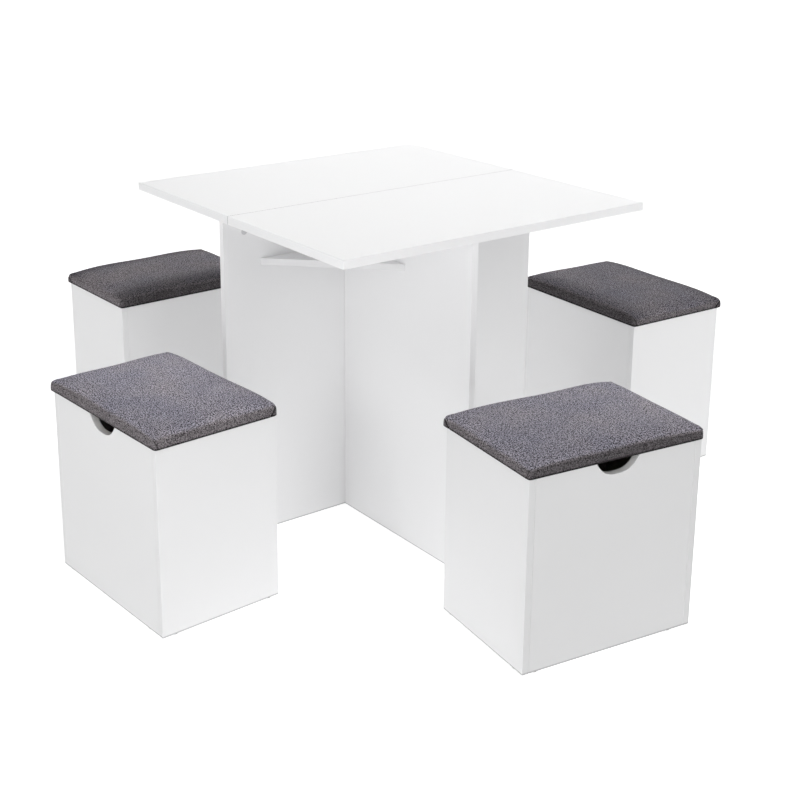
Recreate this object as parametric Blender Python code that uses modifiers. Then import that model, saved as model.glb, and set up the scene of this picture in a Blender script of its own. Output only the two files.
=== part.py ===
"""Dining set: a table with a two-piece top on a pinwheel base, and four storage stools with padded lids.

Metres, +Z up. X runs to the table's right and Y to its back, square to the tabletop. The origin is on the
floor, under the middle of the outline that the whole set covers. The stools stand round the table as left in
use, each turned a little. Table pieces are modelled about the middle of the tabletop, stool pieces about the
middle of their own box with the finger notch on the side towards -Y.
"""

import math

import bmesh
import bpy
from mathutils import Matrix, Vector

# Fits shared by every piece
joint_gap = 0.0003
edge_chamfer = 0.0005
cut_overrun = 0.002

# Tabletop, in two halves that meet at a seam along X
top_width = 0.800
top_depth = 0.820
top_thick = 0.018
seam_place = 0.009
seam_gap = 0.0004

# Base: four boards round a square hollow core, and how far the top hangs over their ends
end_overhang = 0.019
side_overhang = 0.014
board_thick = 0.016
board_height = 0.747
core_half = 0.053

# Corner gussets, one in each bay between two boards
gusset_leg = 0.225
gusset_thick = 0.015
gusset_drop = 0.100

# Cam fittings: a round cam in a board's inner face, with its bolt up into the top
cam_radius = 0.0075
cam_depth = 0.0115
cam_sink = 0.0002
cam_backset = 0.034
cam_inset = 0.053
cam_slot_length = 0.009
cam_slot_width = 0.0018
cam_slot_depth = 0.003
bolt_radius = 0.003
bolt_bite = 0.011

# Steel plates that tie the two halves of the top together from below
plate_length = 0.060
plate_width = 0.025
plate_thick = 0.002
plate_spacing = 0.440
plate_hole_radius = 0.002
plate_hole_inset = 0.008

# Stool box
stool_width = 0.405
stool_depth = 0.283
stool_height = 0.401
stool_panel = 0.015
floor_thick = 0.004
floor_rise = 0.012
floor_tongue = 0.006

# Glides nailed under the ends of a stool's side panels
glide_height = 0.0015
glide_radius = 0.0065
glide_inset = 0.032

# Finger notch in the top edge of a stool's face panel
notch_half_width = 0.050
notch_depth = 0.0290

# Padded lid, laid on the box and kept in place by two cleats glued under its board. The foam swells towards the
# middle of the lid and of each side, and the cover pulls it thin at the corners.
lid_overhang = 0.0032
lid_corner_thick = 0.0280
lid_short_side_thick = 0.0290
lid_long_side_thick = 0.0330
lid_middle_thick = 0.0400
lid_corner_radius = 0.0075
lid_edge_round = 0.0125
lid_tuck = 0.0012
lid_board_inset = 0.004
lid_board_thick = 0.012
cleat_width = 0.020
cleat_height = 0.012
cleat_setback = 0.012
cleat_clearance = 0.0015

# Where each stool stands: how far out from the tabletop's edge its middle is, how far aside it is from the
# table's middle, and its turn in degrees
front_stool_out = 0.228
front_stool_aside = -0.0112
front_stool_turn = -7.63
left_stool_out = 0.1887
left_stool_aside = 0.0291
left_stool_turn = 3.41
back_stool_out = 0.3353
back_stool_aside = 0.1658
back_stool_turn = 1.40
right_stool_out = 0.3193
right_stool_aside = -0.0552
right_stool_turn = -2.82

# Facets of round pieces, and the steps and shares of the curved outlines
cam_sides = 16
bolt_sides = 8
glide_sides = 10
hole_sides = 8
notch_steps = 22
corner_steps = 3
long_side_steps = 7
short_side_steps = 5
edge_steps = 3
crown_ring_shares = (0.88, 0.66, 0.34)
lid_fall_power = 4
notch_fall_power = 2.9
flat_angle = math.radians(1)
sharp_angle = math.radians(40)

# Heights and places that follow from the sizes above
top_low = board_height + joint_gap
end_reach = top_depth / 2 - end_overhang
side_reach = top_width / 2 - side_overhang
gusset_top = top_low - gusset_drop
board_outer = core_half + board_thick
board_middle = core_half + board_thick / 2
stool_low = glide_height + joint_gap
stool_top = stool_low + stool_height
lid_low = stool_top + joint_gap
box_half_x = stool_width / 2
box_half_y = stool_depth / 2
inner_half_x = box_half_x - stool_panel
inner_half_y = box_half_y - stool_panel

SIDES = (
    ("front", 0, end_reach),
    ("right", 90, side_reach),
    ("back", 180, end_reach),
    ("left", -90, side_reach),
)
BAYS = (("front_left", 0), ("front_right", 90), ("back_right", 180), ("back_left", -90))
STOOLS = (
    ("stool_front", 0, top_depth / 2 + front_stool_out, front_stool_aside, front_stool_turn),
    ("stool_left", -90, top_width / 2 + left_stool_out, left_stool_aside, left_stool_turn),
    ("stool_back", 180, top_depth / 2 + back_stool_out, back_stool_aside, back_stool_turn),
    ("stool_right", 90, top_width / 2 + right_stool_out, right_stool_aside, right_stool_turn),
)


def bore_radius(radius, sides):
    """The radius of a bore whose flats clear those of a bar of as many sides by the joint gap."""
    return radius + joint_gap / math.cos(math.pi / sides)


def finish(name, colour, roughness, metallic=0.0):
    """A plain material."""
    made = bpy.data.materials.new(name)
    made.use_nodes = True
    shader = made.node_tree.nodes["Principled BSDF"]
    shader.inputs["Base Color"].default_value = (*colour, 1)
    shader.inputs["Roughness"].default_value = roughness
    shader.inputs["Metallic"].default_value = metallic
    return made


def on_bench(name, shape):
    """Writes a bmesh into a new object on the bench, where pieces are worked before they are placed."""
    mesh = bpy.data.meshes.new(name)
    shape.to_mesh(mesh)
    shape.free()
    made = bpy.data.objects.new(name, mesh)
    bench.objects.link(made)
    return made


def block(name, low, high):
    """A box between two corners."""
    low, high = Vector(low), Vector(high)
    shape = bmesh.new()
    bmesh.ops.create_cube(shape, size=1)
    bmesh.ops.scale(shape, vec=high - low, verts=shape.verts)
    made = on_bench(name, shape)
    made.location = (low + high) / 2
    return made


def bars(name, runs, radius, sides):
    """Round bars, one between the two ends of each run."""
    shape = bmesh.new()
    for start, end in runs:
        along = end - start
        place = Matrix.Translation((start + end) / 2) @ along.to_track_quat("Z", "Y").to_matrix().to_4x4()
        bmesh.ops.create_cone(
            shape,
            cap_ends=True,
            segments=sides,
            radius1=radius,
            radius2=radius,
            depth=along.length,
            matrix=place,
        )
    return on_bench(name, shape)


def sheet(name, outline, thickness):
    """A flat sheet of the outline in X and Y, centred on Z zero, with welded caps and whole flats."""
    curve = bpy.data.curves.new(name, "CURVE")
    curve.dimensions = "2D"
    curve.fill_mode = "BOTH"
    curve.extrude = thickness / 2
    spline = curve.splines.new("POLY")
    spline.points.add(len(outline) - 1)
    for point, (x, y) in zip(spline.points, outline):
        point.co = (x, y, 0, 1)
    spline.use_cyclic_u = True
    drawn = bpy.data.objects.new(name, curve)
    bench.objects.link(drawn)
    shape = bmesh.new()
    shape.from_mesh(settled(drawn))
    bmesh.ops.remove_doubles(shape, verts=shape.verts, dist=joint_gap / 10)
    bmesh.ops.dissolve_limit(shape, angle_limit=flat_angle, verts=shape.verts, edges=shape.edges)
    bmesh.ops.recalc_face_normals(shape, faces=shape.faces)
    return on_bench(name, shape)


def chamfer(piece):
    """Breaks the sharp edges of a panel."""
    bevel = piece.modifiers.new("broken_edges", "BEVEL")
    bevel.width = edge_chamfer
    bevel.segments = 1
    bevel.limit_method = "ANGLE"
    return piece


def boolean(piece, operation, *others):
    """Cuts the others from a piece or joins them to it."""
    for other in others:
        change = piece.modifiers.new(other.name, "BOOLEAN")
        change.operation = operation
        change.solver = "EXACT"
        change.object = other
    return piece


def settled(piece):
    """A piece's mesh as its modifiers leave it, in place. The piece itself is removed."""
    bpy.context.view_layer.update()
    graph = bpy.context.evaluated_depsgraph_get()
    mesh = bpy.data.meshes.new_from_object(piece.evaluated_get(graph))
    mesh.transform(piece.matrix_world)
    mesh.name = piece.name
    bpy.data.objects.remove(piece)
    return mesh


def shelve(*tools):
    """Moves the shapes that cut or joined others to their own collection, apart from the model."""
    for tool in tools:
        bench.objects.unlink(tool)
        tool_shelf.objects.link(tool)
        tool.hide_render = True
        tool.display_type = "WIRE"


def put(name, mesh, parent, material, turn=0.0):
    """A finished piece under its parent, turned about the parent's Z in degrees."""
    piece = bpy.data.objects.new(name, mesh)
    piece.parent = parent
    piece.rotation_euler.z = math.radians(turn)
    mesh.materials.clear()
    mesh.materials.append(material)
    dining_set.objects.link(piece)
    return piece


def place(name, parent, location=(0, 0, 0), turn=0.0):
    """An empty that pieces hang from."""
    made = bpy.data.objects.new(name, None)
    made.parent = parent
    made.location = location
    made.rotation_euler.z = math.radians(turn)
    dining_set.objects.link(made)
    return made


def cam_shape():
    """A cam fitting of the front board, at Y zero: a slotted cam in the board's inner face, joined to the
    bolt that it pulls down. Returns the fitting, and the runs of its pocket and of its bolt's bore."""
    seat = Vector((-core_half, 0, board_height - cam_backset))
    into_board = Vector((-1, 0, 0))
    middle = seat + into_board * board_thick / 2
    face = seat + into_board * cam_sink
    bottom = face + into_board * cam_depth
    bolt_end = Vector((middle.x, middle.y, top_low + bolt_bite))
    cam = bars("cam", [(face, bottom)], cam_radius, cam_sides)
    bolt = bars("bolt", [(middle, bolt_end)], bolt_radius, bolt_sides)
    half_slot = Vector((cam_slot_depth, cam_slot_length / 2, cam_slot_width / 2))
    slot = block("slot", face - half_slot, face + half_slot)
    boolean(boolean(cam, "UNION", bolt), "DIFFERENCE", slot)
    mesh = settled(cam)
    shelve(bolt, slot)
    pocket_run = (seat - into_board * cut_overrun, bottom + into_board * joint_gap)
    bore_run = (middle, bolt_end + Vector((0, 0, joint_gap)))
    return mesh, pocket_run, bore_run


def top_halves(parent, bores):
    """Two halves that meet at a seam along X."""
    half_x, half_y = top_width / 2, top_depth / 2
    front_edge, back_edge = seam_place - seam_gap / 2, seam_place + seam_gap / 2
    for name, low_y, high_y in (("front", -half_y, front_edge), ("back", back_edge, half_y)):
        slab = block("top", (-half_x, low_y, top_low), (half_x, high_y, top_low + top_thick))
        mesh = settled(boolean(chamfer(slab), "DIFFERENCE", bores))
        put(f"top_{name}_half", mesh, parent, white_board)


def base_boards(parent, *cutters):
    """Four boards on edge. Each butts against the next one's face, so the core between them stays hollow."""
    high = (-core_half, core_half - joint_gap, board_height)
    for name, degrees, reach in SIDES:
        board = block("board", (-board_outer, -reach, 0), high)
        board.location.rotate(Matrix.Rotation(math.radians(degrees), 3, "Z"))
        board.rotation_euler.z = math.radians(degrees)
        mesh = settled(boolean(chamfer(board), "DIFFERENCE", *cutters))
        put(f"base_board_{name}", mesh, parent, white_board)


def gussets(parent):
    """A right triangle of board across the corner of each bay, under the top."""
    x, y = -board_outer - joint_gap, core_half - joint_gap
    slab = sheet("gusset", [(x, y), (x - gusset_leg, y), (x, y - gusset_leg)], gusset_thick)
    slab.location.z = gusset_top - gusset_thick / 2
    mesh = settled(chamfer(slab))
    for name, degrees in BAYS:
        put(f"gusset_{name}", mesh, parent, white_board, degrees)


def joining_plates(parent):
    """Two steel plates under the seam, each with four screw holes."""
    high = top_low - joint_gap
    low = high - plate_thick
    overrun = Vector((0, 0, cut_overrun))
    for name, side in (("left", -1), ("right", 1)):
        x = side * plate_spacing / 2
        half_x, half_y = plate_width / 2, plate_length / 2
        corners = (x - half_x, seam_place - half_y, low), (x + half_x, seam_place + half_y, high)
        slab = block("plate", *corners)
        reach_x, reach_y = half_x - plate_hole_inset, half_y - plate_hole_inset
        signs = ((-1, -1), (1, -1), (1, 1), (-1, 1))
        holes = [Vector((x + reach_x * a, seam_place + reach_y * b, low)) for a, b in signs]
        thick = Vector((0, 0, plate_thick))
        runs = [(hole - overrun, hole + thick + overrun) for hole in holes]
        drill = bars("plate_holes", runs, plate_hole_radius, hole_sides)
        put(f"joining_plate_{name}", settled(boolean(slab, "DIFFERENCE", drill)), parent, steel)
        shelve(drill)


def build_table(parent):
    """The table: top, base, gussets, and what holds the top down and together."""
    cam, pocket_run, bore_run = cam_shape()
    pocket_runs, bore_runs = [], []
    for name, degrees, reach in SIDES:
        seat = Matrix.Rotation(math.radians(degrees), 4, "Z") @ Matrix.Translation((0, cam_inset - reach, 0))
        fitting = put(f"cam_fitting_{name}", cam, parent, zinc, degrees)
        fitting.location = seat.translation
        pocket_runs.append([seat @ end for end in pocket_run])
        bore_runs.append([seat @ end for end in bore_run])
    pockets = bars("cam_pockets", pocket_runs, bore_radius(cam_radius, cam_sides), cam_sides)
    bores = bars("bolt_bores", bore_runs, bore_radius(bolt_radius, bolt_sides), bolt_sides)
    top_halves(parent, bores)
    base_boards(parent, pockets, bores)
    shelve(pockets, bores)
    gussets(parent)
    joining_plates(parent)


def notch_cutter():
    """The finger notch: its depth falls away from the middle as one less a power of the distance."""
    outline = []
    for step in range(notch_steps + 1):
        share = 2 * step / notch_steps - 1
        depth = notch_depth * (1 - abs(share) ** notch_fall_power)
        outline.append((notch_half_width * share, stool_top - depth))
    outline += [(notch_half_width, stool_top + cut_overrun), (-notch_half_width, stool_top + cut_overrun)]
    cutter = sheet("notch", outline, stool_panel + 2 * cut_overrun)
    cutter.rotation_euler.x = math.radians(90)
    cutter.location.y = -(box_half_y - stool_panel / 2)
    return cutter


def box_meshes():
    """Meshes of a stool's box, by name: face and rear panels between two side panels, round a thin floor
    panel whose edges lie in grooves."""
    notch = notch_cutter()
    floor_reach = Vector((inner_half_x + floor_tongue, inner_half_y + floor_tongue, 0))
    floor_base = Vector((0, 0, stool_low + floor_rise))
    floor_low = floor_base - floor_reach
    floor_high = floor_base + floor_reach + Vector((0, 0, floor_thick))
    room = Vector((joint_gap, joint_gap, joint_gap))
    groove = block("groove", floor_low - room, floor_high + room)
    panel_end = inner_half_x - joint_gap
    meshes = {}
    for name, side in (("left_side", -1), ("right_side", 1)):
        low_x, high_x = sorted((side * box_half_x, side * inner_half_x))
        slab = block(name, (low_x, -box_half_y, stool_low), (high_x, box_half_y, stool_top))
        meshes[name] = settled(boolean(chamfer(slab), "DIFFERENCE", groove))
    for name, side in (("face_panel", -1), ("rear_panel", 1)):
        low_y, high_y = sorted((side * box_half_y, side * inner_half_y))
        slab = block(name, (-panel_end, low_y, stool_low), (panel_end, high_y, stool_top))
        if name == "face_panel":
            boolean(slab, "DIFFERENCE", notch)
        meshes[name] = settled(boolean(chamfer(slab), "DIFFERENCE", groove))
    shelve(notch, groove)
    meshes["floor_panel"] = settled(block("floor", floor_low, floor_high))
    foot, rise = Vector((0, 0, 0)), Vector((0, 0, glide_height))
    meshes["glide"] = settled(bars("glide", [(foot, foot + rise)], glide_radius, glide_sides))
    return meshes


def lid_rim(inset):
    """Points round the lid's plan, drawn in by the inset: arcs at the corners and straight sides between."""
    half_x, half_y = box_half_x + lid_overhang - inset, box_half_y + lid_overhang - inset
    signs = ((1, 1), (-1, 1), (-1, -1), (1, -1))
    centres = [
        Vector((x * (half_x - lid_corner_radius), y * (half_y - lid_corner_radius), 0)) for x, y in signs
    ]
    rim = []
    for corner, centre in enumerate(centres):
        for step in range(corner_steps + 1):
            angle = math.radians(90) * (corner + step / corner_steps)
            out = Vector((math.cos(angle), math.sin(angle), 0)) * lid_corner_radius
            rim.append(centre + out)
        start, end = rim[-1], centres[(corner + 1) % len(centres)] + out
        steps = long_side_steps if corner % 2 == 0 else short_side_steps
        rim += [start.lerp(end, step / steps) for step in range(1, steps)]
    return rim


def lid_height(spot):
    """The height of the foam over a point of the plan, from its four given thicknesses: it falls from the
    middle line to each pair of sides as one less a power of the distance."""
    in_x = 1 - (abs(spot.x) / (box_half_x + lid_overhang)) ** lid_fall_power
    in_y = 1 - (abs(spot.y) / (box_half_y + lid_overhang)) ** lid_fall_power
    both = lid_middle_thick - lid_long_side_thick - lid_short_side_thick + lid_corner_thick
    long_side, short_side = lid_long_side_thick - lid_corner_thick, lid_short_side_thick - lid_corner_thick
    return lid_corner_thick + long_side * in_x + short_side * in_y + both * in_x * in_y


def cushion_mesh():
    """The padded cover: rings that start tucked under at the foot, go up the side and over the edge along a
    quarter circle, then shrink over the crown. A pocket underneath takes the lid's board."""
    foot = lid_rim(lid_tuck)
    rings = [foot]
    for step in range(edge_steps + 1):
        angle = math.radians(90) * step / edge_steps
        drop = lid_edge_round * (1 - math.sin(angle))
        ring = lid_rim(lid_edge_round * (1 - math.cos(angle)))
        for spot in ring:
            spot.z = lid_height(spot) - drop
        rings.append(ring)
    last = rings[-1]
    for share in crown_ring_shares:
        ring = [spot * share for spot in last]
        for spot in ring:
            spot.z = lid_height(spot)
        rings.append(ring)
    shape = bmesh.new()
    rings = [[shape.verts.new(spot) for spot in ring] for ring in rings]
    for lower, upper in zip(rings, rings[1:]):
        for index in range(len(foot)):
            after = (index + 1) % len(foot)
            shape.faces.new((lower[index], lower[after], upper[after], upper[index]))
    shape.faces.new(reversed(rings[0]))
    shape.faces.new(rings[-1])
    cushion = on_bench("cushion", shape)
    cushion.location.z = lid_low
    pocket_x, pocket_y = (half - lid_board_inset + joint_gap for half in (box_half_x, box_half_y))
    pocket_low = (-pocket_x, -pocket_y, lid_low - cut_overrun)
    pocket = block("lid_pocket", pocket_low, (pocket_x, pocket_y, lid_low + lid_board_thick + joint_gap))
    mesh = settled(boolean(cushion, "DIFFERENCE", pocket))
    shelve(pocket)
    mesh.shade_smooth()
    mesh.set_sharp_from_angle(angle=sharp_angle)
    return mesh


def lid_board_mesh():
    """The lid's board, with two cleats glued under it just inside the side panels."""
    half_x, half_y = box_half_x - lid_board_inset, box_half_y - lid_board_inset
    board = block("lid_board", (-half_x, -half_y, lid_low), (half_x, half_y, lid_low + lid_board_thick))
    chamfer(board)
    outer, reach = inner_half_x - cleat_clearance, inner_half_y - cleat_setback
    bite = lid_board_thick / 2
    cleats = []
    for side in (-1, 1):
        low_x, high_x = sorted((side * outer, side * (outer - cleat_width)))
        low, high = (low_x, -reach, lid_low - cleat_height), (high_x, reach, lid_low + bite)
        cleats.append(block("cleat", low, high))
    mesh = settled(boolean(board, "UNION", *cleats))
    shelve(*cleats)
    return mesh


def stool_middle(facing, out, aside):
    """The middle of a stool, from the middle of the table. Facing is the way round the table, in degrees."""
    return Matrix.Rotation(math.radians(facing), 3, "Z") @ Vector((aside, -out, 0))


def build_stools(parent):
    """Four equal stools, each a box on four glides and a lid that lifts off it."""
    boxes, cushion, board = box_meshes(), cushion_mesh(), lid_board_mesh()
    glide = boxes.pop("glide")
    glide_x, glide_y = box_half_x - stool_panel / 2, box_half_y - glide_inset
    for name, facing, out, aside, turn in STOOLS:
        box_place = place(f"{name}_place", parent, stool_middle(facing, out, aside), facing + turn)
        for piece, mesh in boxes.items():
            put(f"{name}_{piece}", mesh, box_place, grey_board if piece == "floor_panel" else white_board)
        for corner, x, y in (("fl", -1, -1), ("fr", 1, -1), ("rr", 1, 1), ("rl", -1, 1)):
            foot = put(f"{name}_glide_{corner}", glide, box_place, dark_plastic)
            foot.location = (x * glide_x, y * glide_y, 0)
        lid_place = place(f"{name}_lid_place", box_place)
        put(f"{name}_lid_board", board, lid_place, raw_board)
        put(f"{name}_lid_cushion", cushion, lid_place, grey_fabric)


def outline_middle():
    """The middle of the rectangle that the whole set covers: the tabletop and the four lids."""
    half_x, half_y = top_width / 2, top_depth / 2
    covered = [Vector((x, y, 0)) for x in (-half_x, half_x) for y in (-half_y, half_y)]
    rim = lid_rim(0)
    for name, facing, out, aside, turn in STOOLS:
        turned = Matrix.Rotation(math.radians(facing + turn), 3, "Z")
        covered += [stool_middle(facing, out, aside) + turned @ point for point in rim]
    xs, ys = [point.x for point in covered], [point.y for point in covered]
    return Vector((min(xs) + max(xs), min(ys) + max(ys), 0)) / 2


for old in list(bpy.data.objects):
    bpy.data.objects.remove(old)

dining_set = bpy.data.collections.new("dining_set")
bench = bpy.data.collections.new("bench")
tool_shelf = bpy.data.collections.new("cutters")
for shelf in (dining_set, bench, tool_shelf):
    bpy.context.scene.collection.children.link(shelf)

white_board = finish("white_board", (0.91, 0.91, 0.92), 0.38)
grey_board = finish("grey_board", (0.80, 0.80, 0.81), 0.55)
raw_board = finish("raw_board", (0.62, 0.50, 0.36), 0.80)
grey_fabric = finish("grey_fabric", (0.17, 0.165, 0.18), 0.95)
dark_plastic = finish("dark_plastic", (0.05, 0.05, 0.05), 0.50)
steel = finish("steel", (0.62, 0.62, 0.63), 0.35, 1.0)
zinc = finish("zinc", (0.55, 0.56, 0.58), 0.42, 1.0)

set_place = place("set_place", None, -outline_middle())
build_table(set_place)
build_stools(set_place)
bpy.data.collections.remove(bench)
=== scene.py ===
"""Looks of the dining set: white melamine boards, heathered grey padded lids, glides and fittings.

Everything is in metres, +Z up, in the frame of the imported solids. X runs along the tabletop's seam and Y to
the table's back. Each stool has its own upright frame, with the finger notch on its side towards -Y.
"""

import math

import bpy
import numpy as np
from mathutils import Matrix, Vector


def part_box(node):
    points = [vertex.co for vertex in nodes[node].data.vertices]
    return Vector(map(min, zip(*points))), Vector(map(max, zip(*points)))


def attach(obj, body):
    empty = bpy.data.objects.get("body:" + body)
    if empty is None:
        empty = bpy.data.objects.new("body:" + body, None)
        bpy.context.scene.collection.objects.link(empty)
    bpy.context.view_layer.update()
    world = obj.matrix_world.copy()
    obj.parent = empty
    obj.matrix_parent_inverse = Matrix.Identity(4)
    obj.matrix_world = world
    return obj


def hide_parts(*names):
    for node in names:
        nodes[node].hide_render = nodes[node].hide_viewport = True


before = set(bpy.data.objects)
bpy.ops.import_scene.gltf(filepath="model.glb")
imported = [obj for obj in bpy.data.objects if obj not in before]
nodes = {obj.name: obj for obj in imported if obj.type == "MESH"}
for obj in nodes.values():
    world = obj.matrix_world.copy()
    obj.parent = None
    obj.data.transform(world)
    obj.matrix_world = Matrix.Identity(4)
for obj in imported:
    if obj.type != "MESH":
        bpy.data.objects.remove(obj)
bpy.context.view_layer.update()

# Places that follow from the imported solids
top_low, top_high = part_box("top_front_half")
back_low, back_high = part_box("top_back_half")
table_middle = Vector(((top_low.x + top_high.x) / 2, (top_low.y + back_high.y) / 2, 0))
seam_middle = (top_high.y + back_low.y) / 2
lid_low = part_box("stool_front_lid_cushion")[0].z
box_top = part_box("stool_front_face_panel")[1].z
box_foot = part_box("stool_front_face_panel")[0].z
base_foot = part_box("base_board_front")[0].z

# The photograph's camera, fitted to the corners of the table and the stools
picture_width = 800
focal_pixels = 1413.45
centre_pixel = (353.14, 266.63)
camera_from_table = Vector((-1.85963, -2.47324, 1.48111))
camera_yaw = 0.9479
camera_pitch = 0.28022

# Stools: the body's name and the turn of its own frame, in degrees
STOOLS = {
    "stool_front": -7.63,
    "stool_left": -90 + 3.41,
    "stool_back": 180 + 1.40,
    "stool_right": 90 - 2.82,
}

# Stool sizes
box_half_x, box_half_y = 0.2025, 0.1415
panel_thick = 0.015
lid_board_thick = 0.012

# Studio: lamps by their bearing from +X, their height over the horizon, their spread and their strength
floor_reach, floor_drop = 40, 0.0002
floor_tone = (0.96, 0.96, 0.96)
floor_glow = 0.36
floor_lift = 0.20
LAMPS = {
    "back_lamp": (40, 14, 50, 2.0),
    "left_lamp": (180, 32, 40, 0.47),
    "front_lamp": (270, 32, 40, 0.94),
    "high_lamp": (202, 86, 50, 0.74),
}
# Panels by their bearing from +X, their distance and height, their width and their strength
PANELS = {
    "right_panel": (-24, 3.0, 0.9, 1.6, 6),
    "left_panel": (206, 3.0, 0.9, 1.6, 15),
}
panel_aim = 0.35

# Boards: their white, its drift over a sheet, the orange peel's bump and gloss, and how fine both are
sheet_white = (0.91, 0.91, 0.915)
sheet_drift, drift_scale = 0.012, 3.5
peel_bump, peel_height, peel_gloss, peel_scale = 0.06, 0.0002, 0.12, 420.0
sheet_roughness, sheet_specular = 0.50, 0.2
# Lines of painted shade: beside the seam, for the shade in its gap, which is narrower than a pixel, and at
# the foot, for the contact shade
seam_width, seam_shade = 0.0014, 0.55
foot_line, foot_shade = 0.0036, 0.30
# Painted light in how white each sheet is: the table's by the axis across them, a stool's sides and then its
# face and rear
TABLE_PAINTED_LIGHT = {"x": 1.05, "y": 1.0, "z": 1.045}
STOOL_PAINTED_LIGHT = {
    "stool_front": (0.955, 0.83),
    "stool_left": (0.965, 0.895),
    "stool_back": (1.02, 0.97),
    "stool_right": (1.005, 0.925),
}
# How white a gusset's sheet and its edge band are, with painted light
gusset_painted_light, gusset_band_white_and_light = 0.97, 0.93
# How white the edge bands are, their own white with painted light in it, a stool's side bands as a share of
# its face's painted white
table_band_white_and_light, face_band_white_and_light, side_band_light_share = 1.08, 1.05, 0.98

# Glides: discs with a rounded rim. Two shifts take them off the even places, as the photograph shows
glide_radius, glide_rim, glide_inset = 0.0065, 0.0008, 0.032
side_glide_shift, end_glide_shift = 0.008, 0.020
tip_radius = 0.0003

# Fasteners
plate_hole_inset = 0.008
cam_backset = 0.034
cam_from_edge = 0.060
# Staples: the crown's length, its wire's radius, how far and from which share of it the ends turn up, how far
# the rows reach and their pitch, and by how much a staple is out of place and out of line
staple_length, staple_wire, staple_rise, staple_bend_share = 0.010, 0.00045, 0.0018, 0.86
staple_setback, staple_row_reach, staple_pitch = 0.004, 0.160, 0.040
staple_drift, staple_turn = 0.003, 0.12

# Padded lid: how thick the foam is at the corners, halfway along each side and in the middle
pad_overhang = 0.0032
pad_corner_thick = 0.0270
pad_short_side_thick = 0.0280
pad_long_side_thick = 0.0322
pad_middle_thick = 0.0390
pad_fall_power = 4.0
pad_edge_round = 0.0120
pad_corner_reach = 0.0150
pad_corner_power = 5.0
pad_mesh_step = 0.0045
pad_pressure = 4.0
pad_cap = 0.0025
pad_frames = 20
# Up to which share of the corner's height the foot is pinned, and over which share the pin fades
pin_share, pin_fade_share = 0.4, 0.3
hem_width = 0.022
# The foot's rounding and its quarter turn, to four places: the simulated hem's creases hang on its digits
foot_round, foot_turn = 0.0025, 1.5708
pad_headroom = 0.004
# Waves in the foam: how many, how high, their radians per metre, and where they fade out above the foot
wave_count, wave_height, wave_low, wave_high = 5, 0.0003, 14, 34
wave_start, wave_fade = 0.010, 0.012
# Cloth: the weave, over how many crossings a yarn keeps its shade, how fine the fibres clump, and its colours
weave_pitch = 0.0011
yarn_run, clump_scale, cloth_drift_scale = 4.0, 390.0, 9.0
yarn_dark, yarn_light = (0.05, 0.046, 0.052), (2.30, 2.22, 2.42)
cloth_cool, cloth_warm = (0.97, 0.97, 1.06), (1.05, 0.99, 0.96)
# How strongly the yarns differ, and the fibres' clumps on top and down the sides
yarn_fleck, top_clump, side_clump = 0.9, 5.5, 3.0
# The drift's share in the cloth's warmth and where it is even, and how the drift scales the tone
warmth_drift, warmth_even, tone_drift, tone_low = 1.6, 0.55, 0.36, 0.82
cloth_roughness, cloth_specular, weave_bump, weave_height = 0.95, 0.15, 0.5, 0.0004
# Where the cloth's map is cut: below this height lies the hem, and each lid's cloth lies in its own place
hem_map_height, hem_map_shift, lid_map_shift = 0.0004, 0.61, 1.7
# Painted shade on the cloth: where it begins and is full down the sides, and how high and how deep it is in
# the crease at the foot, where the cloth tucks under
shade_start, shade_end = 0.0025, 0.0100
crease_height, crease_shade = 0.0058, 0.93
# A fold at each corner, on the short sides: its crease leans from the rim's corner, with a width, a depth and
# painted shade
fold_start, fold_lean, fold_width, fold_depth, fold_shade = 0.0010, 0.40, 0.0012, 0.0012, 0.75
deep_fold_lean, deep_fold_width, deep_fold_depth, deep_fold_shade = 0.72, 0.0030, 0.0026, 0.97
# How far along the side a fold reaches and fades at the foot, and the soft ridge beside it
fold_reach, fold_fade, fold_top = 0.008, 0.002, 0.004
ridge_share, ridge_place_share, ridge_width_share = 0.5, 2.2, 1.5
DEEP_FOLDS = {"stool_front": (-1, 1), "stool_left": (1, 1), "stool_back": (1, -1), "stool_right": (-1, -1)}
# Where a fold's cloth stands out past the corner, how far, over what reach, and how it fades at the foot
fold_bulge, fold_bulge_reach, fold_bulge_fade = 0.0040, 0.012, 0.003
BULGED_FOLDS = {
    "stool_front": (-1, 1),
    "stool_left": (-1, -1),
    "stool_back": (1, -1),
    "stool_right": (-1, -1),
}
# How light each lid's cloth is, which is painted light, and how warm, and how much painted shade darkens its
# long and its short sides
LID_CLOTH_PAINTED_LIGHT = {
    "stool_front": (0.254, 0.00, 0.728, 0.505),
    "stool_left": (0.302, 0.00, 0.565, 0.558),
    "stool_back": (0.183, 0.45, 0.70, 0.16),
    "stool_right": (0.160, 0.25, 0.665, 0.285),
}
# Each lid's long and then its short sides: how much lower their painted shade begins, how much painted shade
# darkens the top towards them, where the foam turns over, and over what reach
LID_PAINTED_ROLL_SHADE = {
    "stool_front": ((0.0020, 0.10, 0.040), (0.0020, 0.06, 0.030)),
    "stool_left": ((0.0000, 0.13, 0.032), (0.0000, 0.13, 0.055)),
    "stool_back": ((0.0000, 0.60, 0.052), (0.0000, 0.00, 0.050)),
    "stool_right": ((-0.0015, 0.33, 0.045), (0.0050, 0.00, 0.050)),
}
roll_shade_power = 2.5

pad_half_x, pad_half_y = box_half_x + pad_overhang, box_half_y + pad_overhang
hem_drop = (box_top - lid_low) / 2
hem_lift = lid_board_thick / 3


def stool_frame(name):
    """The stool's own frame in the set: its middle on the floor, from its box's panels, and its turn."""
    lows, highs = zip(*(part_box(f"{name}_{panel}") for panel in ("left_side", "right_side")))
    middle = Vector([(min(low[k] for low in lows) + max(high[k] for high in highs)) / 2 for k in range(3)])
    middle.z = 0
    return Matrix.Translation(middle) @ Matrix.Rotation(math.radians(STOOLS[name]), 4, "Z")


# Meshes


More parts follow.
